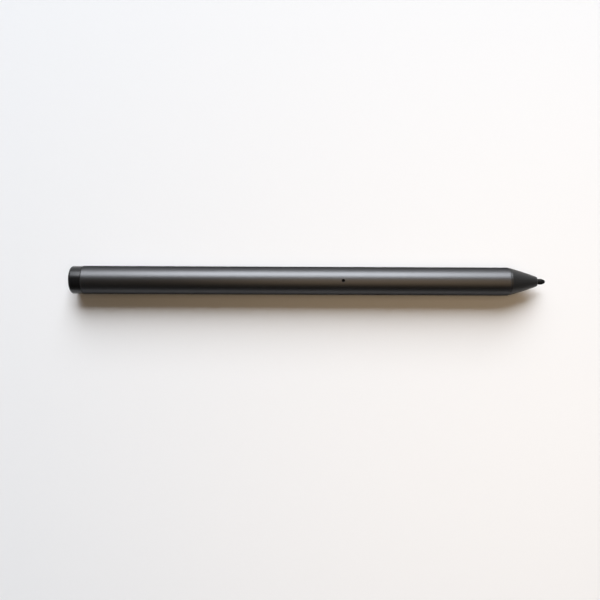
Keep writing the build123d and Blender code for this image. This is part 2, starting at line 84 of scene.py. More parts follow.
def radius_of(node):
    """The largest radius of a CAD node that is round about the pen's axis."""
    low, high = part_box(node)
    return max(high.y - low.y, high.z - low.z) / 2


AXIS_HEIGHT = sum(corner.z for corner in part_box("nose_cone")) / 2


# Settings


def number(name, description, default, **more):
    """A number property that isn't negative."""
    return FloatProperty(name=name, description=description, default=default, min=0.0, **more)


def length(name, description, millimetres):
    """A length property whose default is given in millimetres."""
    return number(name, description, millimetres * MM, unit="LENGTH", precision=5)


def share(name, description, default):
    """A property from 0 to 1."""
    return number(name, description, default, max=1.0, subtype="FACTOR")


def turn(name, description, degrees):
    """An angle property whose default is given in degrees."""
    start = radians(degrees)
    return FloatProperty(name=name, description=description, default=start, subtype="ANGLE")


def triple(name, description, default, **more):
    """A property of three numbers."""
    return FloatVectorProperty(name=name, description=description, default=default, size=3, **more)


def colour(name, description, *default):
    """A colour property, in linear values."""
    return triple(name, description, default, min=0.0, max=1.0, subtype="COLOR")


def spot(name, description, *default):
    """A place in the frame of the CAD model."""
    return triple(name, description, default, subtype="XYZ", unit="LENGTH")


class PenShape(bpy.types.PropertyGroup):
    """Sizes of the pen's visible forms that the CAD boxes don't give."""

    segments: IntProperty(
        name="Segments", description="Sides of a turned surface", default=160, min=32
    )
    barrel_wall: length("Barrel wall", "Thickness of the barrel's tube", 0.5)
    barrel_rim: length("Barrel rim", "Rounding of the barrel's two rims", 0.2)
    hole_radius: length("Indicator hole", "Radius of the hole over the indicator", 0.54)
    cap_swell: length("Cap swell", "How much wider the moulded cap is than its solid", 0.07)
    cap_edge: length("Cap edge", "Rounding of the tail cap's outer edge", 0.72)
    cap_crown: length("Cap crown", "How far the middle of the tail stands out", 0.16)
    sleeve_step: length("Sleeve step", "How far the sleeve's root lies under its crests", 0.5)
    sleeve_wall: length("Sleeve wall", "Wall of the cup in the sleeve", 0.85)
    sleeve_floor: length("Sleeve floor", "Floor of the cup in the sleeve", 0.9)
    cone_inset: length("Cone inset", "How far the cone's base lies inside its solid's edge", 0.07)
    cone_land: length("Cone land", "Straight ring at the cone's base, before the taper", 0.58)
    cone_base_step: length("Cone base", "Rounding where the cone meets the barrel", 0.08)
    cone_belly: length("Cone belly", "How far the flank stands out from a straight taper", 0.12)
    cone_tip_radius: length("Cone tip", "Radius of the cone's front end", 1.57)
    cone_tip_round: length("Cone tip rounding", "Rounding round the mouth of the cone", 0.5)
    mouth_radius: length("Mouth", "Radius of the hole that the nib comes out of", 0.86)
    electrode_wall: length("Electrode wall", "Thickness of the ring electrode", 0.3)
    spigot_wall: length("Spigot wall", "Wall of the cone's spigot", 0.75)
    guide_bore: length("Guide bore", "Radius of the bore in the guide bush", 1.305)
    nib_shank_radius: length("Nib shank", "Radius of the nib's shank", 0.73)
    nib_swell: length("Nib swell", "How much fuller the moulded nib is than its solid", 0.05)
    nib_nose: length("Nib nose", "Length of the nib's rounded end", 1.9)
    nib_neck: length("Nib neck", "How far inside the mouth the nib begins to swell", 0.2)
    thread_lead: length("Thread lead", "How far one turn moves the cap", 1.4)
    thread_depth: length("Thread depth", "Depth of the sleeve's thread", 0.3)
    thread_crest: length("Thread crest", "Width of the thread's crest", 0.12)
    thread_from: length("Thread from", "Where the thread in the barrel begins", 1.5)
    thread_run: length("Thread run", "Length of the thread in the barrel", 1.9)
    leaf: length("Contact leaf", "Thickness of the contact strips", 0.2)


class PenFinishes(bpy.types.PropertyGroup):
    """Colours and surface of the pen's outside."""

    barrel_colour: colour("Barrel", "Anodised aluminium", 0.083, 0.083, 0.0856)
    barrel_roughness: share("Barrel roughness", "Bead-blasted surface", 0.41)
    cap_colour: colour("Tail cap", "Moulded plastic", 0.006, 0.006, 0.0063)
    cap_roughness: share("Cap roughness", "Semi-gloss surface", 0.26)
    cone_colour: colour("Nose cone", "Moulded plastic", 0.007, 0.007, 0.0072)
    cone_roughness: share("Cone roughness", "Satin surface", 0.44)
    nib_colour: colour("Nib", "Moulded plastic", 0.003, 0.003, 0.0031)
    nib_roughness: share("Nib roughness", "Smooth surface", 0.5)


class StageSettings(bpy.types.PropertyGroup):
    """Floor, light and camera; a brightness of 1 is that of a white surface."""

    floor_colour: colour("Floor", "Pale table top", 0.8, 0.8, 0.805)
    window_radiance: number("Window", "Brightness of the window light", 12.0)
    window_colour: colour("Window colour", "Colour of the window light", 0.92, 0.955, 1.0)
    window_distance: length("Window distance", "From the pen to the middle of the window", 2200)
    window_width: length("Window width", "Width of the window light", 1360)
    window_height: length("Window height", "Height of the window light", 1540)
    window_elevation: turn("Window elevation", "Height of the window over the horizon", 36)
    window_turn: turn("Window turn", "How far the window stands round towards the tail", -4)
    pane_radiance: number("Side pane", "Brightness of the window's side pane", 4.0)
    pane_width: length("Side pane width", "Width of the window's side pane", 660)
    pane_turn: turn("Side pane turn", "How far the side pane stands round towards the tail", 26)
    glow_colour: colour("Ceiling glow", "Colour of the warm light overhead", 1.0, 0.72, 0.44)
    glow_radiance: number("Glow strength", "Brightness of the warm light overhead", 0.38)
    glow_place: spot("Glow place", "Middle of the warm light overhead", 0.105, -0.05, 0.3)
    glow_size: length("Glow size", "Side of the warm light overhead", 300)
    glow_spread: turn("Glow spread", "Angle that the warm light spreads over", 90)
    camera_place: spot("Camera", "Where the camera looks down from", -0.00277, -0.0065, 0.2347)
    camera_view: turn("Field of view", "Angle that the picture's side takes in", 47.6)
    camera_roll: turn("Camera roll", "How far the pen slopes down to the right", 0.24)


# Turned and swept meshes


def on_pen(x, radius, angle):
    """A point at a radius from the pen's axis; the angle runs from +Y up to +Z."""
    return x, radius * cos(angle), AXIS_HEIGHT + radius * sin(angle)


def round_angles(count):
    """Angles in even steps round a circle."""
    return [tau * i / count for i in range(count)]


def rounded(corners, steps=6):
    """An outline through corners of (x, radius, rounding), open at its two ends."""
    outline = []
    for i, (x, radius, rounding) in enumerate(corners):
        here = Vector((x, radius))
        if not rounding or i in (0, len(corners) - 1):
            outline.append((x, radius))
            continue
        back = (Vector(corners[i - 1][:2]) - here).normalized()
        ahead = (Vector(corners[i + 1][:2]) - here).normalized()
        half = back.angle(ahead) / 2
        reach = rounding / tan(half)
        middle = here + (back + ahead).normalized() * rounding / sin(half)
        first = here + back * reach - middle
        last = here + ahead * reach - middle
        for step in range(steps + 1):
            spoke = first.lerp(last, step / steps).normalized() * rounding
            outline.append(tuple(middle + spoke))
    return outline


def tube_outline(rear, front, outer, inner, edge, inner_edge, steps=6):
    """The closed outline of a plain tube, from half-way along its outside."""
    start = ((rear + front) / 2, outer, 0)
    outside = [start, (front, outer, edge)]
    inside = [(front, inner, inner_edge), (rear, inner, inner_edge)]
    return rounded([*outside, *inside, (rear, outer, edge), start], steps)[:-1]


def skin(mesh, rings, closed=False):
    """Fills between rings of vertices; a ring of one vertex is a pole on the axis."""
    pairs = list(zip(rings, rings[1:]))
    if closed:
        pairs.append((rings[-1], rings[0]))
    for one, two in pairs:
        count = max(len(one), len(two))
        for i in range(count):
            j = (i + 1) % count
            corners = (one[i % len(one)], one[j % len(one)], two[j % len(two)], two[i % len(two)])
            mesh.faces.new(list(dict.fromkeys(corners)))


def skin_with_ends(mesh, rings):
    """Fills between rings and closes the first and the last."""
    skin(mesh, rings)
    mesh.faces.new(rings[0])
    mesh.faces.new(rings[-1])


def turned_rings(mesh, outline, segments):
    """Rings about the pen's axis; a radius is a number or a function of the angle."""
    rings = []
    for x, radius in outline:
        if callable(radius):
            places = [on_pen(x, radius(angle), angle) for angle in round_angles(segments)]
        elif radius > 0:
            places = [on_pen(x, radius, angle) for angle in round_angles(segments)]
        else:
            places = [on_pen(x, 0, 0)]
        rings.append([mesh.verts.new(place) for place in places])
    return rings


def turned(outline, segments):
    """A mesh turned about the pen's axis; an outline that starts off the axis closes on itself."""
    mesh = bmesh.new()
    skin(mesh, turned_rings(mesh, outline, segments), closed=outline[0][1] > 0)
    return mesh


def coiled(node, wire, rear_radius, front_radius, turns, dead_turns):
    """A spring of round wire as long as a CAD node, with closed turns at both ends."""
    rear, front = span(node)
    per_turn, sides = 56, 14
    count = ceil(turns * per_turn)
    first, last = rear + wire, front - wire
    closed_pitch = 2.1 * wire
    dead_rise = closed_pitch * dead_turns
    line = []
    for i in range(count + 1):
        done = turns * i / count
        rising = min(max((done - dead_turns) / (turns - 2 * dead_turns), 0.0), 1.0)
        low = min(done / dead_turns, 1.0) * dead_rise
        high = max((done - turns + dead_turns) / dead_turns, 0.0) * dead_rise
        x = first + low + high + rising * (last - first - 2 * dead_rise)
        radius = rear_radius + (front_radius - rear_radius) * rising
        line.append(Vector(on_pen(x, radius, tau * done)))
    mesh = bmesh.new()
    rings = []
    for i, point in enumerate(line):
        ahead = (line[min(i + 1, len(line) - 1)] - line[max(i - 1, 0)]).normalized()
        outward = Vector((0, point.y, point.z - AXIS_HEIGHT)).normalized()
        across = ahead.cross(outward).normalized()
        outward = across.cross(ahead)
        spokes = [outward * cos(angle) + across * sin(angle) for angle in round_angles(sides)]
        rings.append([mesh.verts.new(point + spoke * wire) for spoke in spokes])
    skin_with_ends(mesh, rings)
    return mesh


def block(mesh, middle, size, edge, material=0):
    """Adds a box with bevelled edges to a mesh."""
    made = bmesh.ops.create_cube(mesh, size=1.0)["verts"]
    for vertex in made:
        vertex.co = Vector(middle) + Vector(a * b for a, b in zip(vertex.co, size))
    edges = list({e for vertex in made for e in vertex.link_edges})
    bevelled = bmesh.ops.bevel(
        mesh, geom=edges, offset=edge, segments=2, profile=0.5, affect="EDGES", clamp_overlap=True
    )
    corners = set(bevelled["verts"]) | {vertex for vertex in made if vertex.is_valid}
    for face in {face for vertex in corners for face in vertex.link_faces}:
        face.material_index = material


def bent_strip(mesh, corners, width, thickness, end_round=0.0, across=0.0, lift=0.0, material=0):
    """Adds a flat strip along corners of (x, z, rounding); lift raises it off that line."""
    line = [Vector(point) for point in rounded(corners)]
    ends = [(0.0, width / 2)]
    if end_round:
        angles = [pi / 8 * k for k in range(5)]
        ends = [(end_round * (1 - cos(a)), width / 2 - end_round * (1 - sin(a))) for a in angles]
    onward, back = (line[1] - line[0]).normalized(), (line[-2] - line[-1]).normalized()
    rows = [(line[0] + onward * along, half) for along, half in ends]
    rows += [(point, width / 2) for point in line[1:-1]]
    rows += [(line[-1] + back * along, half) for along, half in reversed(ends)]
    deep = thickness / 2
    bevel = deep * 0.3
    tall = deep - bevel
    rings = []
    for i, (point, half) in enumerate(rows):
        ahead = rows[min(i + 1, len(rows) - 1)][0] - rows[max(i - 1, 0)][0]
        up = Vector((-ahead.y, ahead.x)).normalized()
        flat = half - bevel
        lower = [(-flat, -deep), (flat, -deep), (half, -tall), (half, tall)]
        upper = [(flat, deep), (-flat, deep), (-half, tall), (-half, -tall)]
        ring = []
        for side, rise in lower + upper:
            at = point + up * (rise + lift)
            ring.append(mesh.verts.new((at.x, across + side, at.y)))
        rings.append(ring)
    before = len(mesh.faces)
    skin_with_ends(mesh, rings)
    mesh.faces.ensure_lookup_table()
    for face in mesh.faces[before:]:
        face.material_index = material


def placed(name, data):
    """A new object in the scene, of a mesh, a lamp or a camera."""
    made = bpy.data.objects.new(name, data)
    bpy.context.scene.collection.objects.link(made)
    return made


def piece(name, node, slot, mesh, *materials, body="pen_body"):
    """Makes an object of a mesh that rides on a body and stands for a CAD node."""
    bmesh.ops.recalc_face_normals(mesh, faces=mesh.faces)
    data = bpy.data.meshes.new(name)
    mesh.to_mesh(data)
    mesh.free()
    for material in materials:
        data.materials.append(material)
    data.shade_smooth()
    data.set_sharp_from_angle(angle=SHARP_ANGLE)
    made = placed(name, data)
    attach(made, body)
    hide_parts(node)
    return made


def dress(node, material):
    """Gives a CAD node that stays in view a finish."""
    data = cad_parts[node].data
    data.materials.clear()
    data.materials.append(material)


# Finishes


def feed(tree, socket, value):
    """Gives an input socket a plain value, or links it to an output socket."""
    if isinstance(value, bpy.types.NodeSocket):
        tree.links.new(value, socket)
    else:
        socket.default_value = value


def add_node(tree, kind, values=None, **settings):
    """Adds a shader node; values are for its input sockets, and settings for the node itself."""
    made = tree.nodes.new("ShaderNode" + kind)
    for name, value in settings.items():
        setattr(made, name, value)
    for name, value in (values or {}).items():
        feed(tree, made.inputs[name], value)
    return made


def shared_effect(name, inputs, outputs):
    """A new node group with number sockets, and its input and output nodes."""
    group = bpy.data.node_groups.new(name, "ShaderNodeTree")
    kind = "NodeSocketFloat"
    for label, default in inputs.items():
        socket = group.interface.new_socket(name=label, in_out="INPUT", socket_type=kind)
        socket.default_value = default
    for label in outputs:
        group.interface.new_socket(name=label, in_out="OUTPUT", socket_type=kind)
    return group, group.nodes.new("NodeGroupInput"), group.nodes.new("NodeGroupOutput")


def surface_grain():
    """Fine grain of a blasted or moulded surface: a tone from 0 to 1 and a height."""
    name = "Surface grain"
    if name in bpy.data.node_groups:
        return bpy.data.node_groups[name]
    group, given, out = shared_effect(name, {"Scale": 9000.0}, ["Tone", "Height"])
    place = add_node(group, "TexCoord").outputs["Object"]
    where = {"Vector": place, "Scale": given.outputs["Scale"]}
    noise = add_node(group, "TexNoise", {**where, "Detail": 2.0}, noise_dimensions="3D")
    pits = add_node(group, "TexVoronoi", {**where, "Smoothness": 0.6}, feature="SMOOTH_F1")
    terms = {0: pits.outputs["Distance"], 1: 0.6, 2: noise.outputs["Fac"]}
    both = add_node(group, "Math", terms, operation="MULTIPLY_ADD")
    feed(group, out.inputs["Tone"], noise.outputs["Fac"])
    feed(group, out.inputs["Height"], both.outputs[0])
    return group


def handling():
    """Broad uneven patches where a surface has been held, from 0 to 1."""
    name = "Handling"
    if name in bpy.data.node_groups:
        return bpy.data.node_groups[name]
    group, given, out = shared_effect(name, {"Scale": 120.0, "Stretch": 0.35}, ["Patches"])
    place = add_node(group, "TexCoord").outputs["Object"]
    sides = {"X": given.outputs["Stretch"], "Y": 1.0, "Z": 1.0}
    stretch = add_node(group, "CombineXYZ", sides).outputs["Vector"]
    stretched = add_node(group, "VectorMath", {0: place, 1: stretch}, operation="MULTIPLY")
    where = {"Vector": stretched.outputs["Vector"], "Scale": given.outputs["Scale"]}
    fine = {"Detail": 4.0, "Roughness": 0.6}
    broad = add_node(group, "TexNoise", {**where, **fine}, noise_dimensions="3D")
    limits = {"From Min": 0.35, "From Max": 0.68}
    spread = add_node(group, "MapRange", {"Value": broad.outputs["Fac"], **limits})
    feed(group, out.inputs["Patches"], spread.outputs["Result"])
    return group


def finish(
    name,
    tint,
    roughness,
    metallic=0.0,
    gloss=0.5,
    grain_scale=9000.0,
    tone=0.12,
    bump=0.08,
    bump_depth=0.004,
    patches=0.05,
    patch_scale=120.0,
    constants=None,
):
    """A finish with grain in its colour and relief and handling patches in its roughness."""
    if name in bpy.data.materials:
        return bpy.data.materials[name]
    material = bpy.data.materials.new(name)
    material.use_nodes = True
    tree = material.node_tree
    grain = add_node(tree, "Group", {"Scale": grain_scale}, node_tree=surface_grain())
    held = add_node(tree, "Group", {"Scale": patch_scale}, node_tree=handling())
    dark, pale = [(*(min(1.0, c * k) for c in tint), 1.0) for k in (1 - tone, 1 + tone)]
    shades = {"Factor": grain.outputs["Tone"], "A": dark, "B": pale}
    mix = add_node(tree, "Mix", shades, data_type="RGBA")
    limits = {"To Min": max(0.02, roughness - patches), "To Max": min(1.0, roughness + patches)}
    spread = add_node(tree, "MapRange", {"Value": held.outputs["Patches"], **limits})
    depth = {"Strength": bump, "Distance": bump_depth * MM}
    relief = add_node(tree, "Bump", {"Height": grain.outputs["Height"], **depth})
    sockets = {
        "Metallic": metallic,
        "Specular IOR Level": gloss,
        "Base Color": mix.outputs["Result"],
        "Roughness": spread.outputs["Result"],
        "Normal": relief.outputs["Normal"],
        **(constants or {}),
    }
    shader = tree.nodes["Principled BSDF"]
    for socket, value in sockets.items():
        feed(tree, shader.inputs[socket], value)
    return material


def outside_finish(name, part, **more):
    """The finish of a part of the outside, with its colour and roughness from the settings."""
    look = bpy.context.scene.pen_finishes
    tint, roughness = getattr(look, part + "_colour"), getattr(look, part + "_roughness")
    return finish(name, tint, roughness, **more)


def plain_metal(name, tint, roughness):
    """A bare or plated metal."""
    return finish(name, tint, roughness, metallic=1.0, grain_scale=5000.0, tone=0.08)


def spring_steel():
    """Drawn and polished steel wire."""
    return plain_metal("Spring steel", (0.62, 0.62, 0.63), 0.22)


def drawn_copper():
    """Bare copper of the ring electrode and of the flat cable's tracks."""
    return plain_metal("Drawn copper", (0.72, 0.4, 0.26), 0.3)


def solder_mask():
    """Green lacquer over copper tracks."""
    relief = {"grain_scale": 1500.0, "tone": 0.3, "bump": 0.2, "bump_depth": 0.02}
    return finish("Solder mask", (0.012, 0.075, 0.035), 0.32, **relief)


# Barrel


def thread_fade(x, start, end, run):
    """How full a thread is at x: it runs out towards its two ends."""
    return min(1.0, max(0.0, min(x - start, end - x) / run))


def thread_fall(shape, x, angle):
    """How far the sleeve's two-start thread lies under its crests at a place."""
    pitch = shape.thread_lead / 2
    along = x - shape.thread_lead * angle / tau
    away = abs((along / pitch + 0.5) % 1 - 0.5) * pitch
    flank = radians(30)
    return min(max(away - shape.thread_crest / 2, 0.0) / tan(flank), shape.thread_depth)


def threaded(shape, x, radius, full, gap=0.0):
    """A thread's radius at x as a function of the angle; the barrel's ridges leave a gap."""
    return lambda angle: radius - full * max(thread_fall(shape, x, angle) - gap, 0.0)


def hole_edge(mesh, border, radius, hole_x, hole_radius, lip):
    """Fills from a border on a round surface to the drilled hole, and returns its edge."""
    reach_x = max(abs(v.co.x - hole_x) for v in border)
    reach_y = max(abs(v.co.y) for v in border)
    rounds = [(0.34, lip, 0.0), (0.67, lip, 0.0), (1.0, lip, 0.0)]
    if lip:
        rounds.append((1.0, 0.0, lip))
    loop = border
    for fraction, wider, sunk in rounds:
        size = hole_radius + wider
        made = []
        for vertex in border:
            u, v = vertex.co.x - hole_x, vertex.co.y
            angle = atan2(v / reach_y, u / reach_x)
            u += (size * cos(angle) - u) * fraction
            v += (size * sin(angle) - v) * fraction
            z = AXIS_HEIGHT + sqrt(radius**2 - v**2) - sunk
            made.append(mesh.verts.new((hole_x + u, v, z)))
        skin(mesh, [loop, made])
        loop = made
    return loop


def build_barrel(shape):
    """The tube, with the hole over the indicator and the thread in its rear end."""
    rear, front = span("barrel")
    outer = radius_of("barrel")
    bore = outer - shape.barrel_wall
    hole_x = sum(span("light_pipe")) / 2
    half = 5  # quads to each side of the hole's middle that make room for it
    rows = 2 * half
    reach = half * tau * bore / shape.segments
    hole_xs = [hole_x + reach * (2 * i / rows - 1) for i in range(rows + 1)]
    start = rear + shape.thread_from
    end = start + shape.thread_run
    steps = round((end - start) / THREAD_STEP)
    thread_xs = [end - i * (end - start) / steps for i in range(steps + 1)]
    rim = shape.barrel_rim
    back, fore = rear + 2 * rim, front - 2 * rim
    front_rim = [(fore, outer, 0), (front, outer, rim), (front, bore, rim / 2), (fore, bore, 0)]
    rear_rim = [(back, bore, 0), (rear, bore, rim / 2), (rear, outer, rim), (back, outer, 0)]
    outline = [(x, outer) for x in hole_xs] + rounded(front_rim)
    first_inside = len(outline)
    outline += [(x, bore) for x in reversed(hole_xs)]
    run_out, gap = 0.2 * MM, 0.02 * MM
    for x in thread_xs:
        full = thread_fade(x, start, end, run_out)
        outline.append((x, threaded(shape, x, bore, full, gap)))
    outline += rounded(rear_rim)
    mesh = bmesh.new()
    rings = turned_rings(mesh, outline, shape.segments)
    skin(mesh, rings, closed=True)

    top = shape.segments // 4
    columns = range(top - half, top + half + 1)
    outside, inside = rings[: rows + 1], rings[first_inside : first_inside + rows + 1]
    loops = []
    for grid, radius, lip in ((outside, outer, 0.02 * MM), (inside[::-1], bore, 0.0)):
        doomed = [row[j] for row in grid[1:-1] for j in columns[1:-1]]
        bmesh.ops.delete(mesh, geom=doomed, context="VERTS")
        border = [row[columns[0]] for row in grid]
        border += [grid[-1][j] for j in columns[1:]]
        border += [row[columns[-1]] for row in reversed(grid[:-1])]
        border += [grid[0][j] for j in reversed(columns[1:-1])]
        loops.append(hole_edge(mesh, border, radius, hole_x, shape.hole_radius, lip))
    skin(mesh, loops)

    # the edge tint is dark, so that grazing light doesn't whiten the anodised surface
    aluminium = outside_finish(
        "Anodised aluminium",
        "barrel",
        metallic=1.0,
        grain_scale=14000.0,
        tone=0.06,
        bump=0.25,
        patches=0.02,
        patch_scale=60.0,
        constants={"Specular Tint": (0.25, 0.25, 0.255, 1.0)},
    )
    piece("barrel_tube", "barrel", "anodised_barrel", mesh, aluminium)


class PEN_OT_barrel(bpy.types.Operator):
    """Builds the barrel's tube, with the hole over the indicator and the thread in its rear end"""

    bl_idname = "pen.barrel"
    bl_label = "Barrel"

    def execute(self, context):
        build_barrel(context.scene.pen_shape)
        return {"FINISHED"}


# Tail cap


def seal_size():
    """The seal's middle along the pen, its cord's radius and the radius of its ring."""
    rear, front = span("cap_seal")
    cord = (front - rear) / 2
    return (rear + front) / 2, cord, radius_of("cap_seal") - cord


def build_knob(shape, root):
    """The moulded cap: crowned at the tail, with a pocket for the sleeve's root."""
    rear, front = span("tail_cap")
    radius = radius_of("tail_cap") + shape.cap_swell
    pocket = root + FIT
    floor = span("cap_thread_sleeve")[0] - SEAT
    shares = [i / 10 for i in range(8)]  # of the radius, out to where the edge is rounded
    crown = [(rear + shape.cap_crown * s**2, radius * s) for s in shares]
    sides = [
        (*crown[-1], 0),
        (rear + shape.cap_crown, radius, shape.cap_edge),
        (front, radius, 2 * EDGE),
        (front, pocket, EDGE),
        (floor, pocket, EDGE),
        (floor, 0, 0),
    ]
    mesh = turned(crown[:-1] + rounded(sides, steps=10), shape.segments)
    surface = {"gloss": 0.42, "grain_scale": 6000.0, "patches": 0.03}
    plastic = outside_finish("Cap plastic", "cap", **surface)
    piece("tail_knob", "tail_cap", "cap_plastic", mesh, plastic, body="tail_cap")


def build_sleeve(shape, root, cup):
    """The metal sleeve: a root in the cap, a groove for the seal, the thread and a cup."""
    rear, front = span("cap_thread_sleeve")
    crest = radius_of("cap_thread_sleeve")
    rim = span("tail_cap")[1]
    seal_x, cord, seal_radius = seal_size()
    groove = seal_radius - cord - 0.025 * MM
    groove_half = cord + 0.06 * MM
    groove_rear, groove_front = seal_x - groove_half, seal_x + groove_half
    outline = rounded(
        [
            (rear, 0, 0),
            (rear, root, 0.06 * MM),
            (rim, root, 0),
            (rim, crest, EDGE),
            (groove_rear, crest, 0.04 * MM),
            (groove_rear, groove, 0.06 * MM),
            (groove_front, groove, 0.06 * MM),
            (groove_front, crest, 0.04 * MM),
            (groove_front + 0.1 * MM, crest, 0),
        ]
    )
    start, end = outline[-1][0], front - 0.05 * MM
    steps = ceil((end - start) / THREAD_STEP)
    lead_in, past_end, run_out = 0.3 * MM, 0.4 * MM, 0.15 * MM
    for i in range(1, steps + 1):
        x = start + (end - start) * i / steps
        top = crest - max(0.0, x - (front - lead_in))
        full = thread_fade(x, start, end + past_end, run_out)
        outline.append((x, threaded(shape, x, top, full)))
    floor = rear + shape.sleeve_floor
    end_face = [(front, crest - past_end, 0), (front, cup, 0.08 * MM)]
    outline += rounded([*end_face, (floor, cup, 0.2 * MM), (floor, 0, 0)])
    mesh = turned(outline, shape.segments)
    nickel = plain_metal("Nickel plate", (0.66, 0.63, 0.57), 0.24)
    name, node = "threaded_sleeve", "cap_thread_sleeve"
    piece(name, node, "sleeve_nickel", mesh, nickel, body="tail_cap")


class PEN_OT_tail(bpy.types.Operator):
    """Builds the tail cap with its threaded sleeve, ring seal and contact spring"""

    bl_idname = "pen.tail"
    bl_label = "Tail cap"

    def execute(self, context):
        shape = context.scene.pen_shape
        root = radius_of("cap_thread_sleeve") - shape.sleeve_step
        cup = root - shape.sleeve_wall
        build_knob(shape, root)
        build_sleeve(shape, root, cup)

        seal_x, cord, radius = seal_size()
        angles = round_angles(28)
        ring = [(seal_x + cord * cos(a), radius + cord * sin(a)) for a in angles]
        mesh = turned(ring, shape.segments)
        rubber = finish("Seal rubber", (0.018, 0.018, 0.018), 0.55, grain_scale=5000.0, bump=0.2)
        piece("ring_seal", "cap_seal", "seal_rubber", mesh, rubber, body="cap_seal")

        wire = 0.2 * MM
        wide, narrow = cup - 0.3 * MM - wire, 1.5 * MM
        mesh = coiled("tail_spring", wire, wide, narrow, turns=4.5, dead_turns=0.8)
        steel = spring_steel()
        piece("contact_spring", "tail_spring", "spring_steel", mesh, steel, body="tail_cap")
        return {"FINISHED"}


# Nose cone


def build_cone(shape):
    """The moulded cone: a bowed flank, the mouth, seats for the bush and band, and a spigot."""
    rear, front = span("nose_cone")
    base = span("barrel")[1]
    base_radius = radius_of("nose_cone") - shape.cone_inset
    start = base + shape.cone_land
    steps = 12
    flank = []
    for i in range(steps + 1):
        along = i / steps
        straight = base_radius + (shape.cone_tip_radius - base_radius) * along
        bow = 4 * shape.cone_belly * along * (1 - along)
        flank.append((start + (front - start) * along, straight + bow))
    mouth = shape.mouth_radius
    guide_seat = span("nib_guide")[1] + SEAT
    ring_rear, ring_front = span("ring_electrode")
    ring_seat = ring_front + SEAT
    ring_radius = radius_of("ring_electrode")
    guide_radius = ring_radius - shape.electrode_wall
    spigot_bore = radius_of("nib_guide") + FIT
    spigot_radius = spigot_bore + shape.spigot_wall
    sides = [
        (*flank[-3], 0),
        (*flank[-1], shape.cone_tip_round),
        (front, mouth, 0.08 * MM),
        (guide_seat, mouth, 0),
        (guide_seat, guide_radius, 0),
        (ring_seat, guide_radius, 0),
        (ring_seat, ring_radius + FIT, 0),
        (ring_rear, ring_radius + FIT, 0),
        (ring_rear, spigot_bore, 0),
        (rear, spigot_bore, 0.06 * MM),
        (rear, spigot_radius, 2 * EDGE),
        (base, spigot_radius, 0),
        (base, base_radius, shape.cone_base_step),
        (start, base_radius, 0.35 * MM),
        (*flank[1], 0),
    ]
    mesh = turned(flank[2:-3] + rounded(sides, steps=10), shape.segments)
    surface = {"gloss": 0.45, "grain_scale": 8000.0, "bump": 0.3}
    plastic = outside_finish("Cone plastic", "cone", **surface)
    piece("cone_shell", "nose_cone", "cone_plastic", mesh, plastic)


class PEN_OT_nose(bpy.types.Operator):
    """Builds the nose cone with the guide bush and ring electrode inside it"""

    bl_idname = "pen.nose"
    bl_label = "Nose cone"

    def execute(self, context):
        shape = context.scene.pen_shape
        build_cone(shape)

        edge = 0.06 * MM
        rear, front = span("nib_guide")
        ring_rear, ring_front = span("ring_electrode")
        ring_radius = radius_of("ring_electrode")
        ring_bore = ring_radius - shape.electrode_wall
        flange, nose, bore = radius_of("nib_guide"), ring_bore - FIT, shape.guide_bore
        start = (rear, (bore + flange) / 2, 0)
        outside = [(rear, flange, edge), (ring_rear, flange, edge), (ring_rear, nose, edge)]
        inside = [(front, nose, edge * 2), (front, bore, edge * 2), (rear, bore, edge)]
        mesh = turned(rounded([start, *outside, *inside, start], steps=4)[:-1], shape.segments)
        soft = {"Subsurface Weight": 0.1, "Subsurface Scale": 0.001}
        acetal = finish("Natural acetal", (0.74, 0.74, 0.7), 0.42, tone=0.03, constants=soft)
        piece("guide_bush", "nib_guide", "guide_acetal", mesh, acetal)

        band = tube_outline(ring_rear, ring_front, ring_radius, ring_bore, edge, edge, steps=4)
        mesh = turned(band, shape.segments)
        piece("electrode_ring", "ring_electrode", "electrode_copper", mesh, drawn_copper())
        return {"FINISHED"}


# Nib and force sensor


def build_nib(shape):
    """A long shank that swells into a bulb with a rounded end."""
    tail, tip = span("nib")
    bulb = radius_of("nib") + shape.nib_swell
    shank = shape.nib_shank_radius
    bulb_x = tip - shape.nib_nose
    neck_x = span("nose_cone")[1] - shape.nib_neck
    tail_end = [(tail, 0, 0), (tail, shank - EDGE, 0.2 * MM), (tail + 0.4 * MM, shank, 0.3 * MM)]
    outline = rounded([*tail_end, (neck_x, shank, 0)])
    swell_steps, nose_steps = 12, 24
    for i in range(1, swell_steps + 1):
        along = i / swell_steps
        swell = along * along * (3 - 2 * along)
        outline.append((neck_x + (bulb_x - neck_x) * along, shank + (bulb - shank) * swell))
    for i in range(1, nose_steps):
        angle = pi / 2 * i / nose_steps
        outline.append((bulb_x + shape.nib_nose * sin(angle), bulb * cos(angle)))
    outline.append((tip, 0))
    surface = {"gloss": 0.15, "grain_scale": 12000.0, "bump": 0.15}
    plastic = outside_finish("Nib plastic", "nib", **surface)
    mesh = turned(outline, NIB_SEGMENTS)
    piece("writing_nib", "nib", "nib_plastic", mesh, plastic, body="nib")


def build_flat_cable():
    """The film from the sensor's board to the main board, with its tracks on top."""
    low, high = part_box("sensor_flex")
    width, thickness = high.y - low.y, 0.15 * MM
    floor, face = low.z + thickness / 2, high.x - thickness / 2
    route = [(low.x, floor, 0), (face, floor, 0.35 * MM), (face, high.z, 0)]
    mesh = bmesh.new()
    bent_strip(mesh, route, width, thickness)
    tracks, track, height = 4, 0.2 * MM, 0.02 * MM
    for i in range(tracks):
        across = (i - (tracks - 1) / 2) * width / tracks
        bent_strip(mesh, route, track, height, across=across, lift=thickness / 2, material=1)
    film = finish("Polyimide film", (0.46, 0.2, 0.035), 0.25, tone=0.1)
    piece("flat_cable", "sensor_flex", "flex_film", mesh, film, drawn_copper())


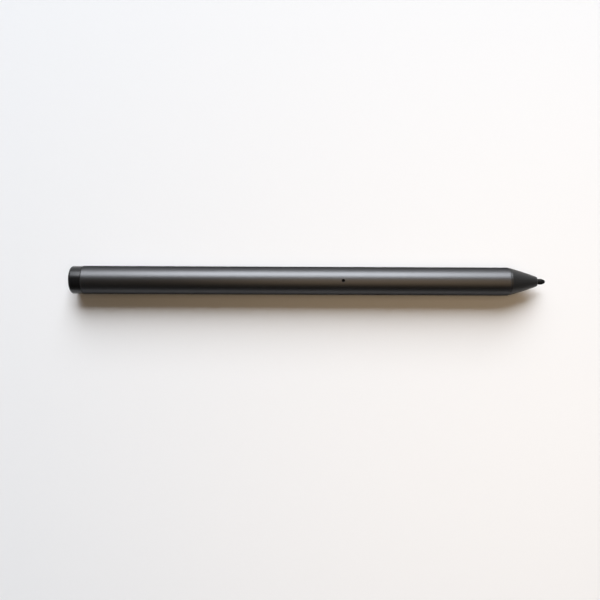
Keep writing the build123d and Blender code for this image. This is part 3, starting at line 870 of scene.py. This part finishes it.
class PEN_OT_nib(bpy.types.Operator):
    """Builds the nib, its return spring and the force sensor, and gives the chuck its finish"""

    bl_idname = "pen.nib"
    bl_label = "Nib and force sensor"

    def execute(self, context):
        build_nib(context.scene.pen_shape)
        dress("nib_chuck", finish("Chuck plastic", (0.07, 0.07, 0.074), 0.45, bump=0.2))

        wire, radius = 0.11 * MM, 1.25 * MM
        mesh = coiled("nib_spring", wire, radius, radius, turns=5.5, dead_turns=0.9)
        spring = piece("return_spring", "nib_spring", "spring_steel", mesh, spring_steel())
        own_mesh(spring)

        rear, front = span("sensor_pad")
        radius = radius_of("sensor_pad")
        flank = [(rear, radius, 0.15 * MM), (front, radius, 0.3 * MM)]
        mesh = turned(rounded([(rear, 0, 0), *flank, (front, 0, 0)]), SMALL_SEGMENTS)
        silicone = finish("Silicone", (0.36, 0.36, 0.38), 0.6, tone=0.05)
        cushion = piece("soft_pad", "sensor_pad", "pad_silicone", mesh, silicone)
        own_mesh(cushion)

        low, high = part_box("force_sensor")
        mesh = bmesh.new()
        block(mesh, (low + high) / 2, high - low, 0.18 * MM)
        case = finish("Sensor case", (0.45, 0.41, 0.33), 0.5)
        piece("sensor_puck", "force_sensor", "sensor_case", mesh, case)
        dress("sensor_board", solder_mask())
        build_flat_cable()
        return {"FINISHED"}


# Cell


class PEN_OT_cell(bpy.types.Operator):
    """Builds the cell: its can, positive cap and plain film"""

    bl_idname = "pen.cell"
    bl_label = "Cell"

    def execute(self, context):
        bead = 0.1 * MM
        rear, front = span("battery_can")
        radius = radius_of("battery_can")
        sunk_rear, sunk_front = rear + 0.12 * MM, front - 0.15 * MM
        can = [
            (rear, 0, 0),
            (rear, radius * 0.62, 0),
            (sunk_rear, radius * 0.66, bead),
            (sunk_rear, radius * 0.8, bead),
            (rear, radius * 0.84, bead),
            (rear, radius, 0.3 * MM),
            (front, radius, 0.3 * MM),
            (front, radius * 0.7, bead),
            (sunk_front, radius * 0.66, bead),
            (sunk_front, 0, 0),
        ]
        mesh = turned(rounded(can), CELL_SEGMENTS)
        steel = plain_metal("Cell steel", (0.72, 0.72, 0.72), 0.25)
        piece("cell_can", "battery_can", "cell_steel", mesh, steel)

        rear, front = span("battery_positive_cap")
        radius = radius_of("battery_positive_cap")
        slope, dent = 0.25 * MM, front - bead
        button = [
            (rear, 0, 0),
            (rear, radius, EDGE),
            (front - slope, radius, bead),
            (front, radius - slope, 0.2 * MM),
            (front, radius * 0.3, bead),
            (dent, radius * 0.25, bead),
            (dent, 0, 0),
        ]
        mesh = turned(rounded(button), SMALL_SEGMENTS)
        piece("cell_button", "battery_positive_cap", "cell_steel", mesh, steel)

        rear, front = span("battery_sleeve")
        radius = radius_of("battery_sleeve")
        inner, edge = radius - 0.08 * MM, 0.03 * MM
        mesh = turned(tube_outline(rear, front, radius, inner, edge, 0), CELL_SEGMENTS)
        wrap = finish("Cell film", (0.04, 0.045, 0.055), 0.28, grain_scale=2500.0)
        piece("cell_film", "battery_sleeve", "cell_wrap", mesh, wrap)
        dress("battery_fill", finish("Cell powder", (0.06, 0.06, 0.06), 0.9, bump=0.5))
        return {"FINISHED"}


# Circuit board


def dimple(mesh, place, radius, depth):
    """Sinks a round dimple into the flat face on top of a block."""
    mesh.normal_update()
    flat = [face for face in mesh.faces if face.normal.z > 0.99]
    top = max(flat, key=lambda face: face.calc_area())
    border = list(top.edges)
    rings = []
    for reach, fall in ((radius, 0.0), (radius * 0.7, depth * 0.8), (radius * 0.4, depth)):
        spokes = [Vector((reach * cos(a), reach * sin(a), -fall)) for a in round_angles(24)]
        rings.append([mesh.verts.new(place + spoke) for spoke in spokes])
    skin(mesh, rings)
    mesh.faces.new(rings[-1])
    first = rings[0]
    rim = [mesh.edges.get(pair) for pair in zip(first, first[1:] + first[:1])]
    bmesh.ops.delete(mesh, geom=[top], context="FACES_ONLY")
    bmesh.ops.triangle_fill(mesh, edges=border + rim, use_beauty=True)


def build_chip(node, pins, epoxy, tin):
    """A flat package with a row of pads along each side and a dimple by its first pad."""
    low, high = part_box(node)
    middle, size = (low + high) / 2, high - low
    inset = 0.06 * MM
    mesh = bmesh.new()
    block(mesh, middle, (size.x - inset, size.y - inset, size.z), EDGE)
    corner = size.x * 0.32
    place = Vector((middle.x - corner, middle.y - corner, high.z))
    dimple(mesh, place, size.x * 0.06, 0.04 * MM)
    pitch = size.x / (pins + 1)
    width, depth, height = pitch * 0.5, 0.25 * MM, 0.15 * MM
    edge = 0.02 * MM
    z = low.z + height / 2
    for i in range(pins):
        step = (i - (pins - 1) / 2) * pitch
        for side in (-1, 1):
            reach = side * (size.x - depth) / 2
            along_x = (middle.x + step, middle.y + reach, z)
            block(mesh, along_x, (width, depth, height), edge, 1)
            along_y = (middle.x + reach, middle.y + step, z)
            block(mesh, along_y, (depth, width, height), edge, 1)
    piece(node + "_package", node, "chip_epoxy", mesh, epoxy, tin)


def solid_boxes(node):
    """The boxes of a node's separate solids."""
    mesh = bmesh.new()
    mesh.from_mesh(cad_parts[node].data)
    bmesh.ops.remove_doubles(mesh, verts=mesh.verts, dist=1e-7)
    left = set(mesh.verts)
    boxes = []
    while left:
        reached = [left.pop()]
        for vertex in reached:
            for edge in vertex.link_edges:
                other = edge.other_vert(vertex)
                if other in left:
                    left.remove(other)
                    reached.append(other)
        low = Vector(min(v.co[i] for v in reached) for i in range(3))
        high = Vector(max(v.co[i] for v in reached) for i in range(3))
        boxes.append((low, high))
    mesh.free()
    return sorted(boxes, key=lambda pair: (pair[0].x, pair[0].y))


def two_ended(node, end_share):
    """A mesh of a block with tinned ends for each solid of a node."""
    mesh = bmesh.new()
    thin = 0.02 * MM
    for low, high in solid_boxes(node):
        middle, size = (low + high) / 2, high - low
        end = size.x * end_share
        block(mesh, middle, (size.x - end, size.y - thin, size.z - thin), 0.03 * MM)
        for side in (-1, 1):
            x = middle.x + side * (size.x - end) / 2
            block(mesh, (x, middle.y, middle.z), (end, size.y, size.z), EDGE, 1)
    return mesh


def build_light_rod(shape):
    """A flanged rod under the indicator's hole; its dished end shades the hole, and its near-black,
    barely glossy finish paints more shade there.
    """
    low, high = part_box("light_pipe")
    middle = (low + high) / 2
    flange = (high.x - low.x) / 2
    radius = shape.hole_radius - 0.05 * MM
    bore = radius_of("barrel") - shape.barrel_wall
    shelf = AXIS_HEIGHT + sqrt(bore**2 - flange**2) - FIT
    under, dish = shelf - 0.5 * MM, high.z - 0.5 * MM
    outline = [
        (low.z, 0, 0),
        (low.z, radius, EDGE),
        (under, radius, 0),
        (under, flange, EDGE),
        (shelf, flange, EDGE),
        (shelf, radius, 0),
        (high.z, radius, 0.03 * MM),
        (high.z, radius - 0.04 * MM, 0.015 * MM),
        (dish, radius * 0.5, 0.15 * MM),
        (dish, 0, 0),
    ]
    mesh = bmesh.new()
    rings = []
    for z, reach in rounded(outline, steps=4):
        ring = []
        for angle in round_angles(ROD_SEGMENTS if reach > 0 else 1):
            x, y = middle.x + reach * cos(angle), middle.y + reach * sin(angle)
            ring.append(mesh.verts.new((x, y, z)))
        rings.append(ring)
    skin(mesh, rings)
    # painted shade: the rod's acrylic is near black and reflects almost nothing, darker than real
    # acrylic, so the hole reads as a black dot
    hole_shade_acrylic = finish("Smoked acrylic", (0.002, 0.002, 0.0021), 0.45, tone=0.2, gloss=0.08)
    piece("light_rod", "light_pipe", "light_pipe_acrylic", mesh, hole_shade_acrylic)


class PEN_OT_board(bpy.types.Operator):
    """Builds the parts on the circuit board and gives the board its finish"""

    bl_idname = "pen.board"
    bl_label = "Circuit board"

    def execute(self, context):
        dress("circuit_board", solder_mask())
        epoxy = finish("Chip epoxy", (0.02, 0.02, 0.022), 0.45, bump=0.3)
        tin = plain_metal("Tinned copper", (0.7, 0.69, 0.66), 0.3)
        for node, pins in (("pen_driver_chip", 6), ("controller_chip", 8)):
            build_chip(node, pins, epoxy, tin)

        ferrite = finish("Ferrite", (0.08, 0.08, 0.085), 0.6, bump=0.4)
        ceramic = finish("Fired ceramic", (0.36, 0.25, 0.14), 0.5)
        resin = finish("LED resin", (0.8, 0.78, 0.64), 0.15, tone=0.03)
        for name, node, slot, body, end_share in (
            ("inductor_package", "boost_inductor", "inductor_ferrite", ferrite, 0.14),
            ("capacitor_chips", "ceramic_capacitors", "capacitor_ceramic", ceramic, 0.25),
            ("led_package", "indicator_led", "led_resin", resin, 0.2),
        ):
            piece(name, node, slot, two_ended(node, end_share), body, tin)

        low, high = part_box("clock_crystal")
        x, size = (low.x + high.x) / 2, high - low
        foot = size.z * 0.45
        lid = (size.x * 0.84, size.y * 0.84, size.z - foot)
        mesh = bmesh.new()
        block(mesh, (x, 0, low.z + foot / 2), (size.x, size.y, foot), EDGE, 1)
        block(mesh, (x, 0, high.z - lid[2] / 2), lid, 0.08 * MM)
        can = plain_metal("Crystal can", (0.62, 0.6, 0.55), 0.28)
        piece("crystal_package", "clock_crystal", "crystal_can", mesh, can, ceramic)

        build_light_rod(context.scene.pen_shape)
        return {"FINISHED"}


# Inner frame and contacts


class PEN_OT_frame(bpy.types.Operator):
    """Builds the contact strips and gives the inner frame and the board screws their finishes"""

    bl_idname = "pen.frame"
    bl_label = "Inner frame and contacts"

    def execute(self, context):
        dress("inner_frame", finish("Frame plastic", (0.035, 0.035, 0.038), 0.5, bump=0.3))
        dress("board_screws", plain_metal("Zinc plate", (0.55, 0.56, 0.58), 0.3))
        bronze = plain_metal("Spring bronze", (0.72, 0.5, 0.28), 0.28)
        leaf = context.scene.pen_shape.leaf

        low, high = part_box("positive_contact")
        post, shelf = low.x + leaf / 2, high.z - leaf / 2
        route = [(post, low.z, 0), (post, shelf, leaf * 0.55), (high.x, shelf, 0)]
        mesh = bmesh.new()
        bent_strip(mesh, route, high.y - low.y, leaf, end_round=0.5 * MM)
        piece("contact_strip", "positive_contact", "contact_bronze", mesh, bronze)

        low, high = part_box("ground_finger")
        shelf, sole = high.z - leaf / 2, low.z + leaf / 2 + 0.02 * MM
        run = high.x - low.x
        route = [
            (high.x, shelf, 0),
            (high.x - run * 0.3, shelf, 0.8 * MM),
            (low.x + run * 0.12, sole, 0.5 * MM),
            (low.x + leaf / 4, sole + 0.6 * MM, 0),
        ]
        mesh = bmesh.new()
        bent_strip(mesh, route, high.y - low.y, leaf, end_round=0.4 * MM)
        piece("ground_leaf", "ground_finger", "contact_bronze", mesh, bronze)
        return {"FINISHED"}


# Stage


def seen_rays(tree):
    """1 for what the eye sees, straight, by gloss or through glass, and 0 for what only lights."""
    ray = add_node(tree, "LightPath")
    seen = ray.outputs["Is Camera Ray"]
    for other in ("Is Glossy Ray", "Is Transmission Ray"):
        rays = {0: seen, 1: ray.outputs[other]}
        seen = add_node(tree, "Math", rays, operation="MAXIMUM").outputs[0]
    return seen


def ramp(tree, value, first, last, high=1.0):
    """A smooth rise from 0 at the first value to the high one at the last."""
    ends = {"Value": value, "From Min": first, "From Max": last, "To Max": high}
    return add_node(tree, "MapRange", ends, interpolation_type="SMOOTHSTEP").outputs["Result"]


def blend(tree, factor, one, two):
    """A mix of two colours, each a plain colour or a socket."""
    sides = {"Factor": factor}
    for socket, tint in (("A", one), ("B", two)):
        sides[socket] = (*tint, 1.0) if isinstance(tint, tuple) else tint
    return add_node(tree, "Mix", sides, data_type="RGBA").outputs["Result"]


def pale_far_off(paper, stage):
    """Keeps the table top pale where the lamps no longer reach; this lights nothing."""
    tree = paper.node_tree
    shader = tree.nodes["Principled BSDF"]
    lit, unlit = 0.16, 0.45
    place = add_node(tree, "TexCoord").outputs["Object"]
    away = add_node(tree, "VectorMath", {0: place}, operation="LENGTH").outputs["Value"]
    reach = ramp(tree, away, lit, unlit, seen_rays(tree))
    nearby = shader.inputs["Base Color"].links[0].from_socket
    feed(tree, shader.inputs["Base Color"], blend(tree, reach, nearby, BLACK))
    pale = blend(tree, reach, BLACK, tuple(stage.floor_colour))
    feed(tree, shader.inputs["Emission Color"], pale)
    shader.inputs["Emission Strength"].default_value = 1.0


def lay_floor(stage):
    """A pale table top that reaches to the horizon."""
    mesh = bmesh.new()
    quads, half = 8, 8.0
    bmesh.ops.create_grid(mesh, x_segments=quads, y_segments=quads, size=half)
    data = bpy.data.meshes.new("table_top")
    mesh.to_mesh(data)
    mesh.free()
    grain = {"tone": 0.008, "grain_scale": 1500.0, "bump": 0.0, "patch_scale": 12.0}
    paper = finish("Pale table top", stage.floor_colour, 0.85, gloss=0.1, **grain)
    pale_far_off(paper, stage)
    data.materials.append(paper)
    placed("table_top", data)


def area_lamp(name, shape, strength, tint, width, height):
    """A lamp that faces down and isn't seen itself."""
    lamp = bpy.data.lights.new(name, "AREA")
    lamp.shape = shape
    lamp.size = width
    lamp.size_y = height
    lamp.energy = strength * pi * width * height
    lamp.color = tint
    light = placed(name, lamp)
    light.visible_camera = False
    return light


def hang_pane(name, stage, strength, width, aside):
    """An upright lamp that faces the pen."""
    tint, height = stage.window_colour, stage.window_height
    light = area_lamp(name, "RECTANGLE", strength, tint, width, height)
    level = cos(stage.window_elevation)
    away = Vector((-sin(aside) * level, cos(aside) * level, sin(stage.window_elevation)))
    light.location = away * stage.window_distance
    light.rotation_mode = "QUATERNION"
    light.rotation_quaternion = away.to_track_quat("Z", "Y")


def hang_glow(stage):
    """A warm lamp that looks down from over the nib's end."""
    size = stage.glow_size
    tint, strength = stage.glow_colour, stage.glow_radiance
    light = area_lamp("ceiling_glow", "SQUARE", strength, tint, size, size)
    light.data.spread = stage.glow_spread
    light.location = stage.glow_place


def paint_room(scene):
    """A room that is pale near the window's horizon and at its ends, and dark elsewhere.

    The pale ends are for the eye and for gloss, and light nothing.
    """
    scene.world = bpy.data.worlds.new("room")
    scene.world.use_nodes = True
    tree = scene.world.node_tree
    place = add_node(tree, "TexCoord").outputs["Generated"]
    x, y, z = add_node(tree, "SeparateXYZ", {"Vector": place}).outputs
    cool, dark = (0.1, 0.105, 0.12), (0.01, 0.01, 0.01)
    behind = blend(tree, ramp(tree, x, -0.3, 0.1), cool, dark)
    wall = blend(tree, ramp(tree, z, 0.1, 0.17), (0.22, 0.22, 0.225), behind)
    horizon = blend(tree, ramp(tree, y, -0.35, 0.35), wall, (0.85, 0.85, 0.86))
    upper = (0.03, 0.026, 0.022)
    seen = seen_rays(tree)
    tail_end, nib_end = (0.9, 0.9, 0.91), (0.32, 0.32, 0.325)
    for side, end_wall in ((-1, tail_end), (1, nib_end)):
        rays = {0: ramp(tree, x, 0.55 * side, 0.85 * side), 1: seen}
        end = add_node(tree, "Math", rays, operation="MULTIPLY").outputs[0]
        upper = blend(tree, end, upper, end_wall)
    everywhere = blend(tree, ramp(tree, z, 0.12, 0.4), horizon, upper)
    feed(tree, tree.nodes["Background"].inputs["Color"], everywhere)


def place_camera(scene, stage):
    """The camera, which looks straight down on the pen."""
    eye = bpy.data.cameras.new("camera")
    eye.sensor_width = 36.0
    eye.lens = eye.sensor_width / 2 / tan(stage.camera_view / 2)
    eye.clip_start = 0.01
    eye.clip_end = 50.0
    scene.camera = placed("camera", eye)
    scene.camera.location = stage.camera_place
    scene.camera.rotation_euler = (0.0, 0.0, stage.camera_roll)


class PEN_OT_stage(bpy.types.Operator):
    """Lays the floor, sets the window light and the room, and places the camera"""

    bl_idname = "pen.stage"
    bl_label = "Stage"

    def execute(self, context):
        scene, stage = context.scene, context.scene.pen_stage
        lay_floor(stage)
        hang_pane("window", stage, stage.window_radiance, stage.window_width, stage.window_turn)
        hang_pane("window_side", stage, stage.pane_radiance, stage.pane_width, stage.pane_turn)
        hang_glow(stage)
        paint_room(scene)
        place_camera(scene, stage)
        scene.view_settings.view_transform = "Standard"
        return {"FINISHED"}


BUILDERS = (
    PEN_OT_barrel,
    PEN_OT_tail,
    PEN_OT_nose,
    PEN_OT_nib,
    PEN_OT_cell,
    PEN_OT_board,
    PEN_OT_frame,
    PEN_OT_stage,
)


class PEN_PT_panel(bpy.types.Panel):
    """Lists the pen's settings and builders"""

    bl_idname = "PEN_PT_panel"
    bl_label = "Stylus pen"
    bl_space_type = "VIEW_3D"
    bl_region_type = "UI"
    bl_category = "Stylus pen"

    def draw(self, context):
        scene = context.scene
        for group in (scene.pen_shape, scene.pen_finishes, scene.pen_stage):
            box = self.layout.box()
            for name in group.__annotations__:
                box.prop(group, name)
        for builder in BUILDERS:
            self.layout.operator(builder.bl_idname)


CLASSES = (PenShape, PenFinishes, StageSettings, *BUILDERS, PEN_PT_panel)


def register():
    for item in CLASSES:
        bpy.utils.register_class(item)
    bpy.types.Scene.pen_shape = PointerProperty(type=PenShape)
    bpy.types.Scene.pen_finishes = PointerProperty(type=PenFinishes)
    bpy.types.Scene.pen_stage = PointerProperty(type=StageSettings)


def unregister():
    del bpy.types.Scene.pen_stage
    del bpy.types.Scene.pen_finishes
    del bpy.types.Scene.pen_shape
    for item in reversed(CLASSES):
        bpy.utils.unregister_class(item)


def main():
    register()
    bpy.ops.pen.barrel()
    bpy.ops.pen.tail()
    bpy.ops.pen.nose()
    bpy.ops.pen.nib()
    bpy.ops.pen.cell()
    bpy.ops.pen.board()
    bpy.ops.pen.frame()
    bpy.ops.pen.stage()


if __name__ == "__main__":
    main()
